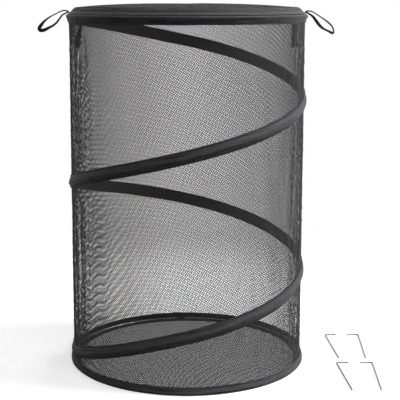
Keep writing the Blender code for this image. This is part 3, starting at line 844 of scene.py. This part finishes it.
def build_netting():
    """The wall in bands of netting, and the rounds of the floor and the lid."""
    levels = np.linspace(WALL_FOOT, WALL_HEAD, WALL_BANDS + 1)
    for number, (foot, head) in enumerate(zip(levels, levels[1:]), 1):
        piece = wall_net(f"wall_mesh_{number}", foot, head)
        wear(piece, "base", "netting", *(["wall_net"] if number == 1 else []))
        press_flat(piece)
    floor = round_net("floor_mesh", FLOOR_REACH, floor_height, 20, FLOOR_STRAND_DEPTH)
    wear(floor, "base", "netting", "base_net")
    lid = round_net("lid_mesh", LID_REACH, lid_height, 34, STRAND_DEPTH, HINGE_LINE)
    wear(lid, "lid", "netting", "lid_net")


def build_hoop_tapes():
    """The tapes bound over both hoops, with their seams."""
    rim = bound_ring("rim_tape", RIM, -1, RIM_OUTLINE, 31)
    wear(rim, "top", "binding_tape", "top_binding")
    hem = bound_ring("floor_tape", 0.0, 1, HEM_OUTLINE, 57)
    wear(hem, "base", "binding_tape", "base_binding")
    level = RIM - BINDING_SEAM
    rows = [ring_seam(WALL + 0.0019, level, 1), ring_seam(WALL - 0.0022, level, -1)]
    wear(seam("rim_stitches", rows), "top", "binding_tape")
    row = ring_seam(WALL + 0.0019, BINDING_SEAM, 1)
    wear(seam("floor_stitches", [row]), "base", "binding_tape")


def build_spiral():
    """The spiral's sleeve and the lining behind its seams, the stitches, and the spring inside."""
    rows = spiral_rows(thick(finer(SLEEVE_OUTLINE)), SLEEVE_LEVEL, 73)
    sleeve = wear(loft("spiral_tape", rows, BINDING), "base", "binding_tape", "spiral_sleeve")
    back = thick([(-0.0012, up) for up in np.linspace(SLEEVE_HALF, -SLEEVE_HALF, 7)])
    lining = loft("spiral_lining", spiral_rows(back, LINING_LEVEL), BINDING)
    wear(lining, "base", "binding_tape", "spiral_backing")
    quarters = np.linspace(0.02, 7.98, 900)
    normals = ringed(1.0, math.pi - quarters * QUARTER, 0.0)
    rows = [(spiral_points(0.00185, up, quarters), normals) for up in (0.0108, -0.0107)]
    stitches = seam("spiral_stitches", rows, 0.0036, 0.0006, 0.0030)
    wear(stitches, "base", "binding_tape")
    quarters = np.linspace(0.72, 7.66, 400)
    height = spiral_height(quarters) - 0.0008
    line = ringed(WALL + 0.0022, math.pi - quarters * QUARTER, height)
    spring = wire("spiral_spring", line, SPRING_RADIUS, SPRING)
    wear(spring, "base", "spring_steel", "spiral_wire")
    for piece in (sleeve, lining, stitches, spring):
        press_flat(piece)


def cone_tape(name, ends, outline, finish, seed, steps=300):
    """A tape on the zip's cone. The outline is (distance in from the hoop, above the cone)."""
    section = thick([(-along, above) for along, above in outline])
    angle = np.linspace(*ends, steps)[:, None]
    wander = ripple(angle, ((9, 0.00008), (23, 0.00006), (41, 0.00004)), seed)
    rows = cone_points(-section[:, 0][None, :], section[:, 1][None, :] + wander, angle)
    return loft(name, rows, finish)


def zip_teeth(name, ends, side, offset):
    """One half of the zip's coil: bars that reach across the zip's line."""
    radius = cone_place(ZIP_LINE, 0.0)[0]
    count = int((ends[1] - ends[0]) * radius / TOOTH_PITCH)
    angle = ends[0] + (np.arange(count) + 0.4 + offset) * TOOTH_PITCH / radius
    middle = cone_points(ZIP_LINE + side * 0.0010, 0.0013, angle)
    inwards = cone_points(1.0, 0.0, angle) - cone_points(0.0, 0.0, angle)
    up = cone_points(0.0, 1.0, angle) - cone_points(0.0, 0.0, angle)
    axes = -side * inwards, np.cross(up, -side * inwards), up
    sides = [axis * size for axis, size in zip(axes, TOOTH_SIZE)]
    return repeated(name, TOOTH, np.stack([*sides, middle], axis=-1), NYLON)


# Tapes round the zip: (piece, body, CAD node, ends, seed, width, length, held by, outline)
ZIP_TAPES = (
    (
        "zip_tape_rim", "top", "zip_outer_tape", ZIP_ENDS, 11, 0.0078, 1.26, "rim_tape",
        ((0.0, 0.0008), (0.0007, 0.0011), (0.0020, 0.0010), (0.0034, 0.0008), (0.0055, 0.0008),
         (0.0076, 0.0009)),
    ),
    (
        "zip_tape_lid", "lid", "zip_inner_tape", FREE_ENDS, 12, 0.0092, 1.19, "lid_mesh",
        ((0.0079, 0.0010), (0.0088, 0.0012), (0.0100, 0.0010), (0.0125, 0.0008), (0.0150, 0.0008),
         (0.0169, 0.0008)),
    ),
    (
        "lid_edge_tape", "lid", "lid_binding", FREE_ENDS, 13, 0.0055, 1.18, "lid_mesh",
        ((0.0121, 0.0012), (0.0126, 0.0014), (0.0140, 0.0015), (0.0156, 0.0015), (0.0166, 0.0014),
         (0.0171, 0.0012)),
    ),
)  # fmt: skip
SEWN_OUTLINE = (
    (0.0, 0.0008), (0.0010, 0.0011), (0.0035, 0.0009), (0.0070, 0.0010), (0.0105, 0.0009),
    (0.0140, 0.0008),
)  # fmt: skip


def build_zip():
    """The zip's tapes and teeth, the lid's edge with its piping, and its sewn strip at the back."""
    for name, body, node, ends, seed, width, length, held_by, outline in ZIP_TAPES:
        piece = wear(cone_tape(name, ends, outline, ZIP_CLOTH, seed), body, "binding_tape", node)
    angle = np.linspace(0, TURN, 480, endpoint=False)
    radius = np.minimum(LID_REACH, HINGE_LINE / np.maximum(np.sin(angle), 0.5))
    line = ringed(radius, angle, lid_height(radius, angle))
    wear(wire("lid_piping", line, PIPING_RADIUS, ZIP_CLOTH, 8, ring=True), "lid", "binding_tape")
    back = cone_tape("lid_back_tape", SEWN_ENDS, SEWN_OUTLINE, BINDING, 14, 60)
    wear(back, "top", "binding_tape", "lid_hinge_tape")
    teeth = zip_teeth("zip_teeth_rim", ZIP_ENDS, -1, 0.0)
    wear(teeth, "top", "nylon", "zip_outer_coil")
    teeth = zip_teeth("zip_teeth_lid", LID_TEETH_ENDS, 1, 0.5)
    wear(teeth, "lid", "nylon", "zip_inner_coil")
    row = cone_seam(0.0036, 0.0012, (ZIP_ENDS[0], ZIP_ENDS[0] + TURN))
    wear(seam("rim_top_stitches", [row], 0.0046, 0.0022, 0.0042), "top", "binding_tape")
    rows = [cone_seam(0.0133, 0.0024, FREE_ENDS), cone_seam(0.0160, 0.0024, FREE_ENDS)]
    wear(seam("lid_stitches", rows), "lid", "binding_tape")
    rows = [cone_seam(0.0060, 0.0011, SEWN_ENDS), cone_seam(0.0120, 0.0010, SEWN_ENDS)]
    wear(seam("lid_back_stitches", rows), "top", "binding_tape")


# Centre lines of the carrying loops: millimetres out from the rim and up from it
LOOP_LINES = {
    "left": (
        (-1.5, -0.6), (3.0, 1.9), (10.8, 1.8), (22.2, -3.5), (33.5, -9.4), (44.9, -17.7),
        (52.4, -26.7), (55.7, -32.5), (52.5, -35.6), (44.9, -34.4), (37.2, -30.5), (29.7, -26.7),
        (22.2, -20.8), (16.1, -13.1), (10.8, -6.4), (1.7, -1.8), (-1.5, -1.9),
    ),
    "right": (
        (-1.5, -0.6), (4.0, 1.4), (12.4, -0.1), (21.0, -5.3), (30.5, -11.4), (38.8, -17.1),
        (46.3, -23.4), (51.8, -30.3), (53.4, -39.8), (49.5, -40.2), (44.3, -37.2), (36.8, -34.0),
        (29.4, -29.1), (23.6, -22.8), (18.5, -15.9), (12.4, -8.5), (2.5, -2.2), (-1.5, -1.9),
    ),
}  # fmt: skip

# How far their webbing has turned on edge: (shares of the loop's length), (degrees)
LOOP_TURNS = {
    "left": ((0.0, 0.25, 0.38, 0.47, 0.56, 0.66, 0.80, 1.0), (6, 7, 26, 50, 40, 22, 8, 5)),
    "right": (
        (0.0, 0.20, 0.36, 0.47, 0.53, 0.62, 0.74, 0.82, 0.91, 1.0),
        (6, 7, 16, 14, 28, 12, 27, 27, 14, 6),
    ),
}

# The tie straps, from the rim down: (out from the axis, height, width, degrees turned)
STRAPS = {
    "left": (
        (0.2045, 0.672, 0.0105, 78), (0.2040, 0.652, 0.0105, 62), (0.2085, 0.632, 0.0110, 30),
        (0.2112, 0.611, 0.0112, 8),
    ),
    "right": (
        (0.2062, 0.672, 0.0110, 70), (0.2064, 0.652, 0.0112, 35), (0.2058, 0.632, 0.0114, 20),
        (0.2072, 0.612, 0.0118, 6),
    ),
}  # fmt: skip

# Half the section of webbing, its edges rounded, in widths and in thicknesses
WEBBING_SECTION = ((-0.5, 0.30), (-0.42, 0.5), (0.42, 0.5), (0.5, 0.30))


def webbing(name, line, widths, normals, depth):
    """Flat webbing along a line, with its width and its face's normal at each point."""
    section = WEBBING_SECTION + tuple((-across, -over) for across, over in WEBBING_SECTION)
    corners = [line + widths * across + normals * over * depth for across, over in section]
    return loft(name, np.stack(corners, axis=1), WEBBING, sharp=50.0)


def build_loop(word, side):
    """A carrying loop of webbing that turns its face and its edge to the front by turns."""
    flat = even_line(np.array(LOOP_LINES[word]) / 1000, 90)
    share = np.linspace(0, 1, len(flat))
    bow = 0.0015 * side * np.sin(share * TURN) * np.sin(share * math.pi)
    line = [side * (WALL + 0.0025 + flat[:, 0]), bow, RIM + 0.0045 + flat[:, 1]]
    line = np.stack(line, axis=1)
    level = np.array([0.0, 1.0, 0.0])
    over = unit(np.cross(unit(np.gradient(line, axis=0)), level))
    turns = np.interp(np.linspace(-0.06, 1.06, len(flat) + 10), *LOOP_TURNS[word])
    soft = np.hanning(13)[1:-1]
    turn = side * np.radians(np.convolve(turns, soft / soft.sum(), "valid"))[:, None]
    across = level * np.cos(turn) + over * np.sin(turn)
    face = over * np.cos(turn) - level * np.sin(turn)
    piece = webbing(f"loop_{word}", line, across * LOOP_WIDTH, face, LOOP_THICKNESS)
    wear(piece, f"loop_{word}", "webbing", f"carry_loop_{word}")


def build_strap(word, side):
    """A tie strap: webbing folded double, hanging inside the wall from the rim's tape."""
    facts = even_line(STRAPS[word], 40)
    turn = np.radians(facts[:, 3])[:, None]
    line = np.stack([side * facts[:, 0], np.zeros(len(facts)), facts[:, 1]], axis=1)
    across = np.array([side, 0.0, 0.0]) * np.cos(turn) + np.array([0.0, 1.0, 0.0]) * np.sin(turn)
    face = unit(np.cross(unit(np.gradient(line, axis=0)), across))
    piece = webbing(f"strap_{word}", line, across * facts[:, 2:3], face, STRAP_THICKNESS)
    wear(piece, f"strap_{word}", "webbing", f"tie_strap_{word}")


def peg_line(side):
    """Centre line of a peg, from its hook's end round the bend to its tip."""
    lean, angle = math.radians(3.3), math.radians(81)
    shaft = Vector((side * math.sin(lean), -math.cos(lean), 0.0))
    hook = Matrix.Rotation(side * angle, 3, "Z") @ shaft
    reach = PEG_BEND / math.tan(angle / 2)
    centre = (hook + shaft).normalized() * PEG_BEND / math.sin(angle / 2)
    spoke = hook * reach - centre
    points = [hook * share for share in np.linspace(PEG_HOOK, reach + 0.0005, 12)]
    for step in range(13):
        turned = Matrix.Rotation(side * (math.pi - angle) * step / 12, 3, "Z") @ spoke
        points.append(centre + turned)
    points += [shaft * share for share in np.linspace(reach + 0.0005, PEG_LENGTH, 60)]
    return np.array(points)


def build_pegs():
    """Four bent wire pegs on the ground, in two rows."""
    places = [(row, column) for row in (0.115, -0.056) for column in ((0.292, 1), (0.362, -1))]
    for number, (row, (column, side)) in enumerate(places, 1):
        line = peg_line(side) + (column, row, PEG_RADIUS)
        piece = wire(f"peg_{number}", line, PEG_RADIUS, GALVANISED, 16)
        wear(piece, f"peg_{number}", "galvanised_wire", f"ground_peg_{number}")


def finish_plain_nodes():
    """Finishes for the CAD's own rigid pieces that stay."""
    looks = (
        (SPRING, ("bottom_hoop_wire", "top_hoop_wire")),
        (ZINC, ("bottom_hoop_ferrule", "top_hoop_ferrule", "zip_slider", "zip_pull")),
        (NYLON, ("spiral_cap_top", "spiral_cap_bottom", "zip_stop_start", "zip_stop_end")),
    )
    for finish, names in looks:
        for name in names:
            nodes[name].material_slots[0].material = finish


def build_stage():
    """A white floor that keeps the net's shadow and fades into the white round it."""
    bpy.ops.mesh.primitive_plane_add(size=12.0, location=(0, 0, -0.0004))
    floor = bpy.context.object
    floor.name = "studio_floor"
    finish = Finish("studio_white", 0.9)
    finish.set("Base Color", (0.80, 0.80, 0.80, 1.0))
    far = finish.node("VectorMath", {"operation": "LENGTH"}, {0: finish.place()}, out="Value")
    seen = finish.node("LightPath", out="Is Camera Ray")
    faded = finish.fade(far, 0.55, 1.1) * seen
    glow = finish.node("Emission", sockets={"Strength": seen * 0.6})
    plain = Value(finish, finish.shader.outputs[0])
    lit = finish.node("AddShader", sockets={0: plain, 1: glow})
    white = finish.node("Emission", sockets={"Strength": 1.0})
    both = finish.node("MixShader", sockets={0: faded, 1: lit, 2: white})
    finish.feed(finish.tree.nodes["Material Output"].inputs["Surface"], both)
    floor.data.materials.append(finish.material)


def build_world():
    """White air, which is bright where it is seen or mirrored and dim as a light."""
    world = bpy.data.worlds.new("studio_air")
    bpy.context.scene.world = world
    world.use_nodes = True
    tree = world.node_tree
    tree.nodes.clear()
    rays = tree.nodes.new("ShaderNodeLightPath").outputs
    seen = rays["Is Camera Ray"]
    for kind in ("Is Transmission Ray", "Is Glossy Ray"):
        either = tree.nodes.new("ShaderNodeMath")
        either.operation = "MAXIMUM"
        tree.links.new(seen, either.inputs[0])
        tree.links.new(rays[kind], either.inputs[1])
        seen = either.outputs[0]
    level = tree.nodes.new("ShaderNodeMapRange")
    level.inputs["To Min"].default_value = AMBIENT
    level.inputs["To Max"].default_value = 1.0
    tree.links.new(seen, level.inputs["Value"])
    air = tree.nodes.new("ShaderNodeBackground")
    air.inputs["Color"].default_value = (1.0, 1.0, 1.0, 1.0)
    tree.links.new(level.outputs[0], air.inputs["Strength"])
    out = tree.nodes.new("ShaderNodeOutputWorld")
    tree.links.new(air.outputs[0], out.inputs["Surface"])


def build_light():
    """Round lamps, all turned to the middle of the net."""
    for name, place, size, power in LAMPS:
        data = bpy.data.lights.new(name, "AREA")
        data.shape = "DISK"
        data.size = size
        data.energy = power
        lamp = bpy.data.objects.new(name, data)
        lamp.location = place
        lamp.rotation_mode = "QUATERNION"
        aim = Vector((0, 0, 0.35)) - Vector(place)
        lamp.rotation_quaternion = aim.to_track_quat("-Z", "Y")
        bpy.context.scene.collection.objects.link(lamp)


def build_camera():
    """The photograph's view, with a slight tilt in place of most of its lens shift."""
    data = bpy.data.cameras.new("camera")
    data.lens = 94.035
    data.shift_x = 0.0326
    data.shift_y = -0.11
    data.clip_end = 60.0
    camera = bpy.data.objects.new("camera", data)
    camera.location = (0.0, -2.0152, 0.7053)
    camera.rotation_euler = (math.radians(90 - 8.598), 0.0, 0.0)
    bpy.context.scene.collection.objects.link(camera)
    bpy.context.scene.camera = camera
    bpy.context.scene.view_settings.view_transform = "Standard"


build_camera()
build_world()
build_light()
build_stage()
build_netting()
build_hoop_tapes()
build_spiral()
build_zip()
for word, side in (("left", -1), ("right", 1)):
    build_loop(word, side)
    build_strap(word, side)
build_pegs()
finish_plain_nodes()
